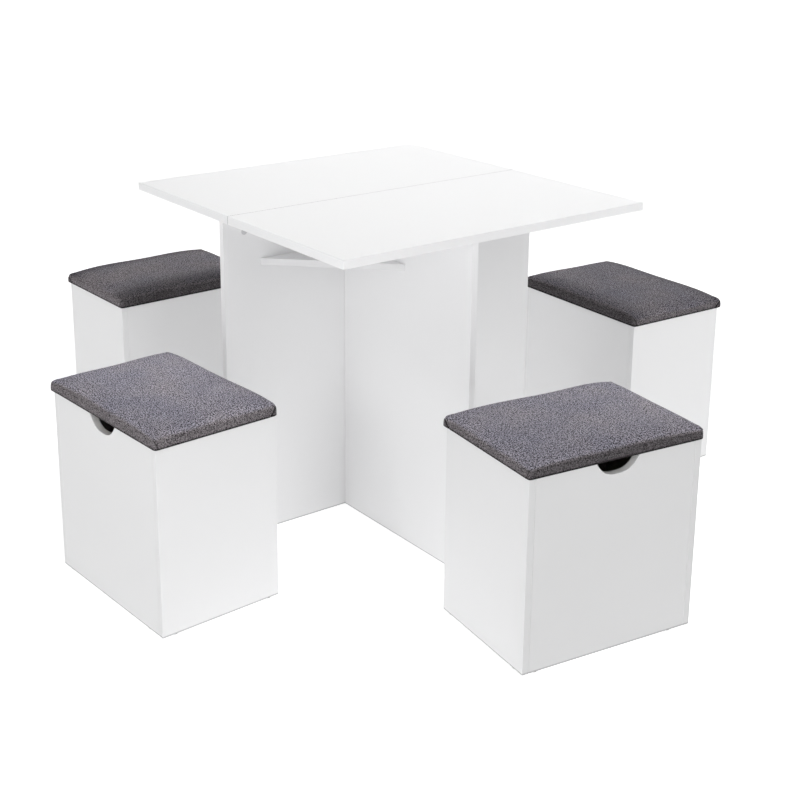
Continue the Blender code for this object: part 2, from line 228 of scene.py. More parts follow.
def new_piece(name, points, faces):
    """A mesh piece from arrays of points and of faces."""
    mesh = bpy.data.meshes.new(name)
    mesh.from_pydata(np.asarray(points, float).tolist(), [], [list(map(int, face)) for face in faces])
    piece = bpy.data.objects.new(name, mesh)
    bpy.context.scene.collection.objects.link(piece)
    mesh.shade_smooth()
    return piece


def grid_faces(rows, columns, start=0, closed=True):
    """Quads between neighbouring rows of a grid whose columns run round in a ring when it is closed."""
    column = np.arange(columns if closed else columns - 1)
    after = (column + 1) % columns
    row = np.arange(rows - 1)[:, None] * columns + start
    quads = np.stack([row + column, row + after, row + columns + after, row + columns + column], -1)
    return quads.reshape(-1, 4)


def turned(profile, sides):
    """Points and quads of a turned form: a profile of radii and heights that is carried round Z."""
    angle = np.arange(sides) * (2 * math.pi / sides)
    radius, height = np.asarray(profile, float).T[:, :, None]
    points = np.stack([radius * np.cos(angle), radius * np.sin(angle), height + 0 * angle], -1)
    return points.reshape(-1, 3), grid_faces(len(profile), sides)


def many(points, faces, places):
    """Copies of one form at each place, as one set of points and faces of any number of corners."""
    all_points, all_faces = [], []
    for count, place in enumerate(places):
        matrix = np.array(place, float)
        all_points.append(np.asarray(points) @ matrix[:3, :3].T + matrix[:3, 3])
        all_faces += [[corner + count * len(points) for corner in face] for face in faces]
    return np.concatenate(all_points), all_faces


# Node materials


def new_material(name, roughness, metallic=0.0):
    """A material with its Principled shader, and that shader."""
    made = bpy.data.materials.new(name)
    made.use_nodes = True
    shader = made.node_tree.nodes["Principled BSDF"]
    shader.inputs["Roughness"].default_value = roughness
    shader.inputs["Metallic"].default_value = metallic
    return made, shader


def node(tree, kind, **inputs):
    """A shader node with its plain input values set by name."""
    made = tree.nodes.new(kind)
    for key, value in inputs.items():
        made.inputs[key.replace("_", " ")].default_value = value
    return made


def maths(tree, operation, *values):
    """A Math node. Values are numbers or sockets."""
    made = tree.nodes.new("ShaderNodeMath")
    made.operation = operation
    for socket, value in zip(made.inputs, values):
        if isinstance(value, bpy.types.NodeSocket):
            tree.links.new(value, socket)
        else:
            socket.default_value = value
    return made.outputs[0]


def blended(tree, share, first, second):
    """A colour between two, which are colours or sockets, by a share."""
    made = tree.nodes.new("ShaderNodeMix")
    made.data_type = "RGBA"
    for socket, value in ((made.inputs[0], share), (made.inputs[6], first), (made.inputs[7], second)):
        if isinstance(value, bpy.types.NodeSocket):
            tree.links.new(value, socket)
        elif isinstance(value, (int, float)):
            socket.default_value = value
        else:
            socket.default_value = (*value, 1)
    return made.outputs[2]


def new_group(name, inputs, outputs):
    """A shader node group with named float, vector and colour sockets. Returns it with its two ends."""
    kinds = {"float": "NodeSocketFloat", "vector": "NodeSocketVector", "colour": "NodeSocketColor"}
    tree = bpy.data.node_groups.new(name, "ShaderNodeTree")
    for label, kind in inputs.items():
        tree.interface.new_socket(label, in_out="INPUT", socket_type=kinds[kind])
    for label, kind in outputs.items():
        tree.interface.new_socket(label, in_out="OUTPUT", socket_type=kinds[kind])
    return tree, tree.nodes.new("NodeGroupInput"), tree.nodes.new("NodeGroupOutput")


def placed_group(tree, group, **values):
    """A group placed in a material, with its own values or sockets by input name."""
    made = tree.nodes.new("ShaderNodeGroup")
    made.node_tree = group
    for key, value in values.items():
        socket = made.inputs[key]
        if isinstance(value, bpy.types.NodeSocket):
            tree.links.new(value, socket)
        elif socket.type == "RGBA":
            socket.default_value = (*value, 1)
        else:
            socket.default_value = value
    return made


def board_face_group():
    """Melamine face: a soft tone drift over the sheet, and an orange-peel grain too fine to see but for its
    gloss. Tone times one plus drift, roughness plus grain."""
    tree, given, result = new_group(
        "board_face",
        {"Place": "vector", "Tone": "colour", "Drift": "float", "Roughness": "float"},
        {"Colour": "colour", "Roughness": "float", "Height": "float"},
    )
    cloud = node(tree, "ShaderNodeTexNoise", Scale=drift_scale, Detail=2.0)
    peel = node(tree, "ShaderNodeTexNoise", Scale=peel_scale, Detail=3.0)
    for texture in (cloud, peel):
        tree.links.new(given.outputs["Place"], texture.inputs["Vector"])
    shade = maths(tree, "MULTIPLY_ADD", cloud.outputs["Fac"], -2.0, 1.0)
    dim = maths(tree, "MULTIPLY_ADD", shade, given.outputs["Drift"], 1.0)
    colour = tree.nodes.new("ShaderNodeVectorMath")
    colour.operation = "SCALE"
    tree.links.new(given.outputs["Tone"], colour.inputs[0])
    tree.links.new(dim, colour.inputs["Scale"])
    tree.links.new(colour.outputs["Vector"], result.inputs["Colour"])
    grain = maths(tree, "MULTIPLY_ADD", peel.outputs["Fac"], peel_gloss, -peel_gloss / 2)
    tree.links.new(maths(tree, "ADD", grain, given.outputs["Roughness"]), result.inputs["Roughness"])
    tree.links.new(peel.outputs["Fac"], result.inputs["Height"])
    return tree


def edge_band_group():
    """A mask of a board's edges: one where the surface looks away from the board's thickness."""
    tree, given, result = new_group("edge_band", {"Thickness": "vector"}, {"Mask": "float"})
    facing = tree.nodes.new("ShaderNodeTexCoord")
    across = tree.nodes.new("ShaderNodeVectorMath")
    across.operation = "DOT_PRODUCT"
    tree.links.new(facing.outputs["Normal"], across.inputs[0])
    tree.links.new(given.outputs["Thickness"], across.inputs[1])
    lined = maths(tree, "ABSOLUTE", across.outputs["Value"])
    tree.links.new(maths(tree, "LESS_THAN", lined, 0.5), result.inputs["Mask"])
    return tree


def board_material(name, thickness, sheet_painted_light, band_white_and_light, foot):
    """White melamine-faced board with banded edges. Thickness is the direction across the board. A narrow
    line at the foot is darker and stands for the contact shade, which the floor's glow washes out."""
    # The sheet's white is painted light on one melamine; the band's is its own white with painted light in it
    tone = tuple(sheet_painted_light * channel for channel in sheet_white)
    edge_tone = tuple(band_white_and_light * channel for channel in sheet_white)
    made, shader = new_material(name, sheet_roughness)
    tree = made.node_tree
    place = tree.nodes.new("ShaderNodeTexCoord").outputs["Object"]
    edge = placed_group(tree, edge_band, Thickness=thickness).outputs["Mask"]
    height = tree.nodes.new("ShaderNodeSeparateXYZ")
    tree.links.new(place, height.inputs[0])
    at_foot = maths(tree, "LESS_THAN", height.outputs[2], foot + foot_line)
    shade = maths(tree, "MULTIPLY", at_foot, foot_shade)
    tint = blended(tree, shade, blended(tree, edge, tone, edge_tone), (0, 0, 0))
    face = placed_group(
        tree, board_face, Place=place, Tone=tint, Drift=sheet_drift, Roughness=sheet_roughness
    )
    bump = node(tree, "ShaderNodeBump", Strength=peel_bump, Distance=peel_height)
    tree.links.new(face.outputs["Colour"], shader.inputs["Base Color"])
    tree.links.new(face.outputs["Roughness"], shader.inputs["Roughness"])
    tree.links.new(face.outputs["Height"], bump.inputs["Height"])
    tree.links.new(bump.outputs["Normal"], shader.inputs["Normal"])
    shader.inputs["Specular IOR Level"].default_value = sheet_specular
    return made


def seam_line(material):
    """Darkens a top board's faces in a narrow band round the seam with painted shade, which stands for the
    shade in its gap, so that its hairline shows.
    """
    tree = material.node_tree
    shader = tree.nodes["Principled BSDF"]
    place = tree.nodes.new("ShaderNodeSeparateXYZ")
    tree.links.new(tree.nodes.new("ShaderNodeTexCoord").outputs["Object"], place.inputs[0])
    away = maths(tree, "ABSOLUTE", maths(tree, "SUBTRACT", place.outputs[1], seam_middle))
    beside = maths(tree, "LESS_THAN", away, seam_width / 2)
    dim = maths(tree, "MULTIPLY_ADD", beside, -seam_shade, 1.0)
    shaded = tree.nodes.new("ShaderNodeVectorMath")
    shaded.operation = "SCALE"
    tree.links.new(shader.inputs["Base Color"].links[0].from_socket, shaded.inputs[0])
    tree.links.new(dim, shaded.inputs["Scale"])
    tree.links.new(shaded.outputs["Vector"], shader.inputs["Base Color"])


def weave_group():
    """Plain weave of heathered yarn on the cloth's own map. Warp and weft yarns each take a shade of their
    own that changes every few crossings, a cloud stands for the fibres' clumps, the upper yarn at each
    crossing is chosen like a chess board, and the height is a half sine across it, both ways."""
    inputs = {"Map": "vector", "Pitch": "float", "Dark": "colour", "Light": "colour"}
    inputs.update({"Fleck": "float", "Clump": "float"})
    tree, given, result = new_group("weave", inputs, {"Colour": "colour", "Height": "float"})
    split = tree.nodes.new("ShaderNodeSeparateXYZ")
    tree.links.new(given.outputs["Map"], split.inputs[0])
    along = [maths(tree, "DIVIDE", split.outputs[axis], given.outputs["Pitch"]) for axis in (0, 1)]
    cell = [maths(tree, "FLOOR", value) for value in along]
    inside = [maths(tree, "SUBTRACT", value, low) for value, low in zip(along, cell)]
    chess = maths(tree, "MODULO", maths(tree, "ABSOLUTE", maths(tree, "ADD", *cell)), 2.0)
    shades = []
    for this, other, seed in ((0, 1, 0.0), (1, 0, 40.0)):
        start = tree.nodes.new("ShaderNodeTexWhiteNoise")
        start.noise_dimensions = "1D"
        tree.links.new(cell[this], start.inputs["W"])
        stretch = maths(tree, "ADD", maths(tree, "DIVIDE", along[other], yarn_run), start.outputs["Value"])
        yarn = tree.nodes.new("ShaderNodeCombineXYZ")
        tree.links.new(cell[this], yarn.inputs[0])
        tree.links.new(maths(tree, "FLOOR", stretch), yarn.inputs[1])
        yarn.inputs[2].default_value = seed
        spun = tree.nodes.new("ShaderNodeTexWhiteNoise")
        tree.links.new(yarn.outputs[0], spun.inputs["Vector"])
        shades.append(spun.outputs["Value"])
    upper = tree.nodes.new("ShaderNodeMix")
    tree.links.new(chess, upper.inputs[0])
    tree.links.new(shades[0], upper.inputs[2])
    tree.links.new(shades[1], upper.inputs[3])
    cloud = node(tree, "ShaderNodeTexNoise", Scale=clump_scale, Detail=2.0, Roughness=0.7)
    tree.links.new(given.outputs["Map"], cloud.inputs["Vector"])
    flecked = [
        maths(tree, "MULTIPLY", maths(tree, "SUBTRACT", value, 0.5), given.outputs[key])
        for value, key in ((upper.outputs[0], "Fleck"), (cloud.outputs["Fac"], "Clump"))
    ]
    shifted = maths(tree, "ADD", maths(tree, "ADD", *flecked), 0.5)
    share = maths(tree, "MINIMUM", maths(tree, "MAXIMUM", shifted, 0.0), 1.0)
    spun_tone = blended(tree, share, given.outputs["Dark"], given.outputs["Light"])
    tree.links.new(spun_tone, result.inputs["Colour"])
    waves = [maths(tree, "SINE", maths(tree, "MULTIPLY", value, math.pi)) for value in inside]
    tree.links.new(maths(tree, "MULTIPLY", *waves), result.inputs["Height"])
    return tree


def cloth_material(name, tone, warmth):
    """Heathered grey upholstery: the weave on the pad's own map, with painted light in each lid's tone. The
    attribute "side" is nought on top and one down the sides, where the cloth is warmer, and the attribute
    "shade" tells how much painted shade darkens it."""
    made, shader = new_material(name, cloth_roughness)
    tree = made.node_tree
    cloth_place = tree.nodes.new("ShaderNodeUVMap")
    cloth_place.uv_map = "cloth"
    side, shade = tree.nodes.new("ShaderNodeAttribute"), tree.nodes.new("ShaderNodeAttribute")
    side.attribute_name, shade.attribute_name = "side", "shade"
    drift = node(tree, "ShaderNodeTexNoise", Scale=cloth_drift_scale, Detail=2.0)
    tree.links.new(cloth_place.outputs["UV"], drift.inputs["Vector"])
    spread = maths(tree, "MULTIPLY_ADD", drift.outputs["Fac"], warmth_drift, warmth - warmth_even)
    reach = maths(tree, "MAXIMUM", maths(tree, "ADD", spread, side.outputs["Fac"]), 0.0)
    tint = blended(tree, maths(tree, "MINIMUM", reach, 1.0), cloth_cool, cloth_warm)
    weave = placed_group(
        tree,
        weave_cloth,
        Map=cloth_place.outputs["UV"],
        Pitch=weave_pitch,
        Dark=tuple(tone * channel for channel in yarn_dark),
        Light=tuple(tone * channel for channel in yarn_light),
        Fleck=yarn_fleck,
        Clump=maths(tree, "MULTIPLY_ADD", side.outputs["Fac"], side_clump - top_clump, top_clump),
    )
    dyed = tree.nodes.new("ShaderNodeVectorMath")
    dyed.operation = "MULTIPLY"
    tree.links.new(weave.outputs["Colour"], dyed.inputs[0])
    tree.links.new(tint, dyed.inputs[1])
    uneven = maths(tree, "MULTIPLY_ADD", drift.outputs["Fac"], tone_drift, tone_low)
    dim = maths(tree, "MULTIPLY", uneven, maths(tree, "SUBTRACT", 1.0, shade.outputs["Fac"]))
    shaded = tree.nodes.new("ShaderNodeVectorMath")
    shaded.operation = "SCALE"
    tree.links.new(dyed.outputs["Vector"], shaded.inputs[0])
    tree.links.new(dim, shaded.inputs["Scale"])
    bump = node(tree, "ShaderNodeBump", Strength=weave_bump, Distance=weave_height)
    tree.links.new(shaded.outputs["Vector"], shader.inputs["Base Color"])
    tree.links.new(weave.outputs["Height"], bump.inputs["Height"])
    tree.links.new(bump.outputs["Normal"], shader.inputs["Normal"])
    shader.inputs["Specular IOR Level"].default_value = cloth_specular
    return made


def plain_material(name, tone, roughness, metallic, grain_scale, grain):
    """A plastic, metal or raw board whose tone and roughness vary by a grain of its own scale."""
    made, shader = new_material(name, roughness, metallic)
    tree = made.node_tree
    place = tree.nodes.new("ShaderNodeTexCoord").outputs["Object"]
    speck = node(tree, "ShaderNodeTexNoise", Scale=grain_scale, Detail=4.0)
    tree.links.new(place, speck.inputs["Vector"])
    darker = tuple(channel * (1 - grain) for channel in tone)
    lighter = tuple(min(1, channel * (1 + grain)) for channel in tone)
    tree.links.new(blended(tree, speck.outputs["Fac"], darker, lighter), shader.inputs["Base Color"])
    worn = maths(tree, "MULTIPLY_ADD", speck.outputs["Fac"], 0.2, roughness - 0.1)
    tree.links.new(worn, shader.inputs["Roughness"])
    return made


def dress(name, material):
    """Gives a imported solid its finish."""
    piece = nodes[name]
    piece.data.materials.clear()
    piece.data.materials.append(material)


# Padded lids


def foam_height(x, y):
    """How high the foam stands over the plan: it falls from the middle line to each pair of sides as one less
    the fourth power of the distance, between the four thicknesses named above."""
    in_x = 1 - (np.abs(x) / pad_half_x).clip(0, 1) ** pad_fall_power
    in_y = 1 - (np.abs(y) / pad_half_y).clip(0, 1) ** pad_fall_power
    long_side, short_side = pad_long_side_thick - pad_corner_thick, pad_short_side_thick - pad_corner_thick
    both = pad_middle_thick - pad_corner_thick - long_side - short_side
    return pad_corner_thick + long_side * in_x + short_side * in_y + both * in_x * in_y


def pad_lines(half):
    """Grid lines across the pad from one rim to the other: close at the rims, where the edge turns over, at
    equal angles of its quarter circle, and even between."""
    inset = pad_edge_round * (1 - np.cos(np.linspace(0, math.pi / 2, 8)))
    inner = half - inset[-1]
    even = np.linspace(-inner, inner, 2 * round(inner / pad_mesh_step) + 1)
    return np.concatenate([inset[:-1] - half, even, half - inset[:-1][::-1]])


def pad_plan(x, y):
    """A point of the plain rectangle moved so that each square ring near a corner becomes a superellipse."""
    a = ((np.abs(x) - pad_half_x) / pad_corner_reach + 1).clip(0, None)
    b = ((np.abs(y) - pad_half_y) / pad_corner_reach + 1).clip(0, None)
    ring = np.maximum(a, b)
    norm = (a**pad_corner_power + b**pad_corner_power) ** (1 / pad_corner_power)
    share = np.where((a > 0) & (b > 0), ring / np.maximum(norm, 1e-9), 1)
    shrink_x, shrink_y = a * (1 - share) * pad_corner_reach, b * (1 - share) * pad_corner_reach
    return x - np.sign(x) * shrink_x, y - np.sign(y) * shrink_y


def pad_surface():
    """The pad's upper side as a grid over the plan, and below it rings that follow the grid's border down the
    side, under the edge and in along the hem. Inside the hem the closing face lies within the lid's board.
    Over the edge the height falls along a quarter circle of the distance from the rim."""
    across, along = pad_lines(pad_half_x), pad_lines(pad_half_y)
    x, y = np.meshgrid(across, along)
    inset = np.minimum(pad_half_x - np.abs(x), pad_half_y - np.abs(y)).clip(0, pad_edge_round)
    plan_x, plan_y = pad_plan(x, y)
    drop = pad_edge_round - np.sqrt(pad_edge_round**2 - (pad_edge_round - inset) ** 2)
    top = np.stack([plan_x, plan_y, foam_height(x, y) - drop], -1)
    rows, columns = x.shape
    index = np.arange(rows * columns).reshape(rows, columns)
    border = np.concatenate([index[0, :-1], index[:-1, -1], index[-1, :0:-1], index[:0:-1, 0]])
    points = top.reshape(-1, 3)
    rim = points[border]
    rings = []
    plan, up = rim * (1, 1, 0), rim * (0, 0, 1)
    foot = np.array((0, 0, foot_round))
    for share in (0.8, 0.6, 0.4, 0.2):
        rings.append(plan + up * share + foot * (1 - share))
    turned_in = np.linspace(0, foot_turn, 4)
    turns = [(foot_round * (1 - math.cos(a)), foot_round * (1 - math.sin(a))) for a in turned_in]
    turns += [(foot_round + share * hem_width, 0) for share in (0.33, 0.66, 1)]
    turns.append((foot_round + 1.02 * hem_width, hem_lift))
    for tuck, height in turns:
        shrink = 1 - tuck / np.array((pad_half_x, pad_half_y, 1))
        rings.append(plan * shrink + (0, 0, height))
    faces = list(grid_faces(rows, columns, closed=False))
    below = np.concatenate([border, len(points) + np.arange(len(rings) * len(border))])
    faces += list(below[grid_faces(len(rings) + 1, len(border))[:, ::-1]])
    last = below[-len(border):]
    front, back = last[:columns], last[columns + rows - 2 : 2 * columns + rows - 2][::-1]
    faces += list(np.stack([front[1:-2], back[1:-2], back[2:-1], front[2:-1]], -1))
    faces.append(np.concatenate([front[-2:], last[columns : columns + rows - 2], back[-2:][::-1]])[::-1])
    faces.append(np.concatenate([front[:2], back[:2][::-1], last[2 * columns + rows - 2 :]])[::-1])
    return np.concatenate([points, *rings]), faces


def applied(piece):
    """The piece with its modifiers applied to its mesh."""
    graph = bpy.context.evaluated_depsgraph_get()
    mesh = bpy.data.meshes.new_from_object(piece.evaluated_get(graph))
    piece.modifiers.clear()
    old = piece.data
    piece.data = mesh
    bpy.data.meshes.remove(old)
    return piece


def points_of(mesh):
    """The mesh's points as an array."""
    flat = np.empty(len(mesh.vertices) * 3, np.float32)
    mesh.vertices.foreach_get("co", flat)
    return flat.reshape(-1, 3).astype(float)


def simulated_pad():
    """The pad in the stool's own frame, foot at zero: its foot is pinned and it is blown up by a light
    pressure, as foam fills a tight cover."""
    points, faces = pad_surface()
    pad = new_piece("pad_form", points, faces)
    foot = pad.vertex_groups.new(name="foot")
    pinned = pad_corner_thick * pin_share - points[:, 2]
    weights = np.clip(pinned / (pad_corner_thick * pin_fade_share), 0, 1)
    for index in np.nonzero(weights > 0)[0]:
        foot.add([int(index)], float(weights[index]), "REPLACE")
    cloth = pad.modifiers.new("cloth", "CLOTH")
    settings = cloth.settings
    settings.quality = 6
    settings.mass = 0.3
    settings.tension_stiffness = settings.compression_stiffness = 40
    settings.shear_stiffness = 20
    settings.bending_stiffness = 4
    settings.use_pressure = True
    settings.uniform_pressure_force = pad_pressure
    settings.vertex_group_mass = "foot"
    settings.effector_weights.gravity = 0
    cloth.point_cache.frame_start, cloth.point_cache.frame_end = 1, pad_frames
    for step in range(1, pad_frames + 1):
        bpy.context.scene.frame_set(step)
    applied(pad)
    bpy.context.scene.frame_set(1)
    moved = points_of(pad.data) - points
    length = np.linalg.norm(moved, axis=1, keepdims=True)
    moved *= pad_cap * np.tanh(length / pad_cap) / np.maximum(length, 1e-9)
    pad.data.vertices.foreach_set("co", (points + moved).astype(np.float32).ravel())
    finer = pad.modifiers.new("finer", "SUBSURF")
    finer.levels = finer.render_levels = 1
    applied(pad)
    return pad


def cloth_map(points):
    """The cloth laid on the pad: the plan's own x and y on top, over the edge the length of its quarter
    circle, down the side the drop, and under the foot the plan again, moved apart."""
    half = np.array((pad_half_x, pad_half_y)) - pad_edge_round
    flat = np.clip(points[:, :2], -half, half)
    past = points[:, :2] - flat
    reach = np.linalg.norm(past, axis=1, keepdims=True)
    drop = np.clip(foam_height(points[:, 0], points[:, 1])[:, None] - points[:, 2:], 0, None)
    turned_over = pad_edge_round * np.arctan2(reach, (pad_edge_round - drop).clip(0, None))
    length = turned_over + (drop - pad_edge_round).clip(0, None)
    laid = flat + past / np.maximum(reach, 1e-6) * np.where(reach > 1e-6, length, 0)
    return np.where(points[:, 2:] < hem_map_height, points[:, :2] + hem_map_shift, laid)


def pad_folds(name, points):
    """How deep each point lies in a corner's fold, in metres along the short side's outward way, and how much
    painted shade lies on it there. The crease is a Gaussian across a line that leans from the rim's corner,
    with a ridge."""
    half = np.array((pad_half_x, pad_half_y))
    depth, dark = np.zeros(len(points)), np.zeros(len(points))
    for sx, sy in ((-1, -1), (1, -1), (1, 1), (-1, 1)):
        deep = DEEP_FOLDS[name] == (sx, sy)
        width, sink = (deep_fold_width, deep_fold_depth) if deep else (fold_width, fold_depth)
        lean = deep_fold_lean if deep else fold_lean
        inside, along = (half - np.abs(points[:, :2])).T
        fallen = (pad_corner_thick - fold_top - points[:, 2]).clip(-fold_fade, None)
        line = along - fold_start - lean * fallen
        here = (points[:, 0] * sx > 0) & (points[:, 1] * sy > 0)
        reach = here * np.clip(1.4 - inside / fold_reach, 0, 1) * np.clip(points[:, 2] / fold_fade, 0, 1)
        crease = np.exp(-((line / width) ** 2)) * reach
        beside = (line - ridge_place_share * width) / (ridge_width_share * width)
        depth += sink * (crease - ridge_share * reach * np.exp(-(beside**2)))
        dark = np.maximum(dark, crease * (deep_fold_shade if deep else fold_shade))
    return depth, dark


def tailored(name, points, depth, seed):
    """Small hand-made differences: slow waves in the foam, the folds at the corners, and cloth at a fold that
    bulges as a Gaussian of the distance from one corner."""
    chance = np.random.default_rng(seed)
    moved = points.copy()
    top = np.clip((points[:, 2] - wave_start) / wave_fade, 0, 1)
    for count in range(wave_count):
        wave = chance.uniform(wave_low, wave_high, 2) * chance.choice((-1, 1), 2)
        phase = chance.uniform(0, 2 * math.pi)
        moved[:, 2] += wave_height * top * np.sin(points[:, :2] @ wave + phase)
    moved[:, 0] -= np.sign(points[:, 0]) * depth
    way = np.array(BULGED_FOLDS[name])
    away = points[:, :2] - way * (pad_half_x, pad_half_y)
    side = np.clip(points[:, 2] / fold_bulge_fade, 0, 1)
    moved[:, :2] += way * (fold_bulge * side * np.exp(-((away / fold_bulge_reach) ** 2).sum(1)))[:, None]
    return moved


def pad_shades(name, points, fold_painted_shade):
    """What the attributes "side" and "shade" hold at each point, the shade being painted shade. The side
    begins a little below the rim, the painted shade is deepest in the foot's crease and in the folds, and it
    darkens the top towards the rim by a bell of the distance from it."""
    long_roll_shade, short_roll_shade = LID_PAINTED_ROLL_SHADE[name]
    half = np.array((pad_half_x, pad_half_y)) - pad_corner_reach
    past = np.abs(points[:, :2] - np.clip(points[:, :2], -half, half))
    short = past[:, 0] ** 2 / np.maximum((past**2).sum(1), 1e-12)
    lower = long_roll_shade[0] + (short_roll_shade[0] - long_roll_shade[0]) * short
    fallen = foam_height(points[:, 0], points[:, 1]) - points[:, 2] - lower
    share = ((fallen - shade_start) / (shade_end - shade_start)).clip(0, 1)
    side = share * share * (3 - 2 * share)
    long_side_painted_shade, short_side_painted_shade = LID_CLOTH_PAINTED_LIGHT[name][2:]
    # Painted shade at the foot, where the cloth tucks under over the gap to the box
    crease = crease_shade * ((crease_height - points[:, 2]) / (crease_height - foot_round)).clip(0, 1)
    light = (1 - side * (long_side_painted_shade + (short_side_painted_shade - long_side_painted_shade) * short)) * (1 - crease) * (1 - fold_painted_shade)
    for axis, edge, (_, roll_shade, reach) in ((1, pad_half_y, long_roll_shade), (0, pad_half_x, short_roll_shade)):
        inwards = (edge - np.abs(points[:, axis])).clip(0, None)
        light *= 1 - (1 - side) * roll_shade * np.exp(-((inwards / reach) ** roll_shade_power))
    return side, 1 - light


def make_lids():
    """One padded lid for each stool, from one simulated pad. Its hem lies in the gap between the lid's board
    and the box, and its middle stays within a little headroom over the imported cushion."""
    form = simulated_pad()
    base = points_of(form.data)
    for seed, name in enumerate(STOOLS):
        place = np.array(stool_frame(name))
        depth, fold_painted_shade = pad_folds(name, base)
        points = tailored(name, base, depth, seed)
        uvs = cloth_map(base) + seed * lid_map_shift
        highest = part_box(f"{name}_lid_cushion")[1].z + pad_headroom
        points[:, 2] = np.clip(points[:, 2] + lid_low + hem_drop, lid_low + hem_drop, highest)
        mesh = form.data.copy()
        mesh.vertices.foreach_set("co", (points @ place[:3, :3].T + place[:3, 3]).astype(np.float32).ravel())
        layer = mesh.uv_layers.new(name="cloth")
        corner_points = np.empty(len(mesh.loops), np.int32)
        mesh.loops.foreach_get("vertex_index", corner_points)
        layer.data.foreach_set("uv", uvs[corner_points].ravel())
        mesh.materials.clear()
        # Each lid's material is a copy of one cloth with its own painted light and shade
        mesh.materials.append(cloth_material(f"heather_cloth_painted_light_{name}", *LID_CLOTH_PAINTED_LIGHT[name][:2]))
        for label, values in zip(("side", "shade"), pad_shades(name, base, fold_painted_shade)):
            mesh.attributes.new(label, "FLOAT", "POINT").data.foreach_set("value", values.astype(np.float32))
        mesh.shade_smooth()
        mesh.name = f"{name}_padded_lid"
        lid = bpy.data.objects.new(f"{name}_padded_lid", mesh)
        bpy.context.scene.collection.objects.link(lid)
        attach(lid, f"{name}_lid")
        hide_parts(f"{name}_lid_cushion")
    bpy.data.objects.remove(form)


# Glides and small fasteners


def make_glides():
    """Eight nailed glides under each box, two to a panel: a disc with a rounded lower rim, from the floor to
    the box's foot."""
    flat = glide_radius - glide_rim
    profile = [(tip_radius, 0)]
    for a in np.linspace(0, math.pi / 2, 5):
        profile.append((flat + glide_rim * math.sin(a), glide_rim - glide_rim * math.cos(a)))
    profile += [(glide_radius, box_foot), (tip_radius, box_foot)]
    points, faces = turned(profile, 24)
    side_x, end_y = box_half_x - panel_thick / 2, box_half_y - glide_inset
    end_x, side_y = box_half_x - glide_inset, box_half_y - panel_thick / 2
    spots = [(sx * side_x, sy * end_y + side_glide_shift * (sy > 0)) for sx in (-1, 1) for sy in (-1, 1)]
    spots += [(sx * (end_x - end_glide_shift * (sx > 0)), sy * side_y) for sx in (-1, 1) for sy in (-1, 1)]
    for name in STOOLS:
        stool = stool_frame(name)
        places = [stool @ Matrix.Translation((x, y, 0)) for x, y in spots]
        piece = new_piece(f"{name}_glides", *many(points, faces, places))
        piece.data.materials.append(dark_glide)
        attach(piece, name)
        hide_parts(*(f"{name}_glide_{corner}" for corner in ("fl", "fr", "rr", "rl")))


def cross_head(radius, rise, soft, cross_width, cross_depth, rows=9, sides=32):
    """A round head that looks along +Z, foot at zero: rings shrink from the side over a soft rim to the
    middle, and the top is sunk where a ring's point lies within half a cross's width of either axis."""
    arc = np.linspace(0, math.pi / 2, 4)
    rim = [(radius - soft * (1 - math.cos(a)), rise - soft * (1 - math.sin(a))) for a in arc]
    flat = [(radius * share, rise) for share in np.linspace(1 - soft / radius, 0.02, rows)[1:]]
    points, faces = turned([(0.02 * radius, -rise), (radius, -rise), (radius, 0), *rim, *flat], sides)
    apart = np.minimum(np.abs(points[:, 0]), np.abs(points[:, 1]))
    reach = np.linalg.norm(points[:, :2], axis=1)
    sunk = (points[:, 2] > 0.9 * rise) & (apart < cross_width / 2) & (reach < 0.68 * radius)
    points[:, 2] -= sunk * cross_depth
    count = len(points) // sides
    caps = [list(range(sides))[::-1], list(range((count - 1) * sides, count * sides))]
    return points, [*map(list, faces), *caps]


def make_plate_screws():
    """Eight pan-head screws, one in each hole of the two plates under the seam."""
    head = cross_head(radius=0.0036, rise=0.0018, soft=0.0012, cross_width=0.0011, cross_depth=0.0008)
    down = Matrix.Rotation(math.pi, 4, "X")
    spots = []
    for name in ("left", "right"):
        low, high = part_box(f"joining_plate_{name}")
        middle = (low + high) / 2
        reach = (high - low) / 2 - Vector((plate_hole_inset, plate_hole_inset, 0))
        spots += [
            Matrix.Translation((middle.x + sx * reach.x, middle.y + sy * reach.y, low.z)) @ down
            for sx in (-1, 1)
            for sy in (-1, 1)
        ]
    screws = new_piece("plate_screws", *many(*head, spots))
    screws.data.materials.append(screw_steel)
    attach(screws, "table")


def make_box_cams():
    """Eight cams in each box, two at each end of the face and rear panels, flush in their inner faces."""
    cam = cross_head(radius=0.0073, rise=0.0004, soft=0.0003, cross_width=0.0022, cross_depth=0.0009)
    end = box_half_x - panel_thick - cam_backset
    low, high = box_foot + cam_from_edge, box_top - cam_from_edge
    for name in STOOLS:
        stool = stool_frame(name)
        spots = []
        for sy in (-1, 1):
            inwards = Matrix.Rotation(sy * math.pi / 2, 4, "X")
            spots += [
                stool @ Matrix.Translation((sx * end, sy * (box_half_y - panel_thick), z)) @ inwards
                for sx in (-1, 1)
                for z in (low, high)
            ]
        piece = new_piece(f"{name}_cams", *many(*cam, spots))
        piece.data.materials.append(cam_zinc)
        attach(piece, name)


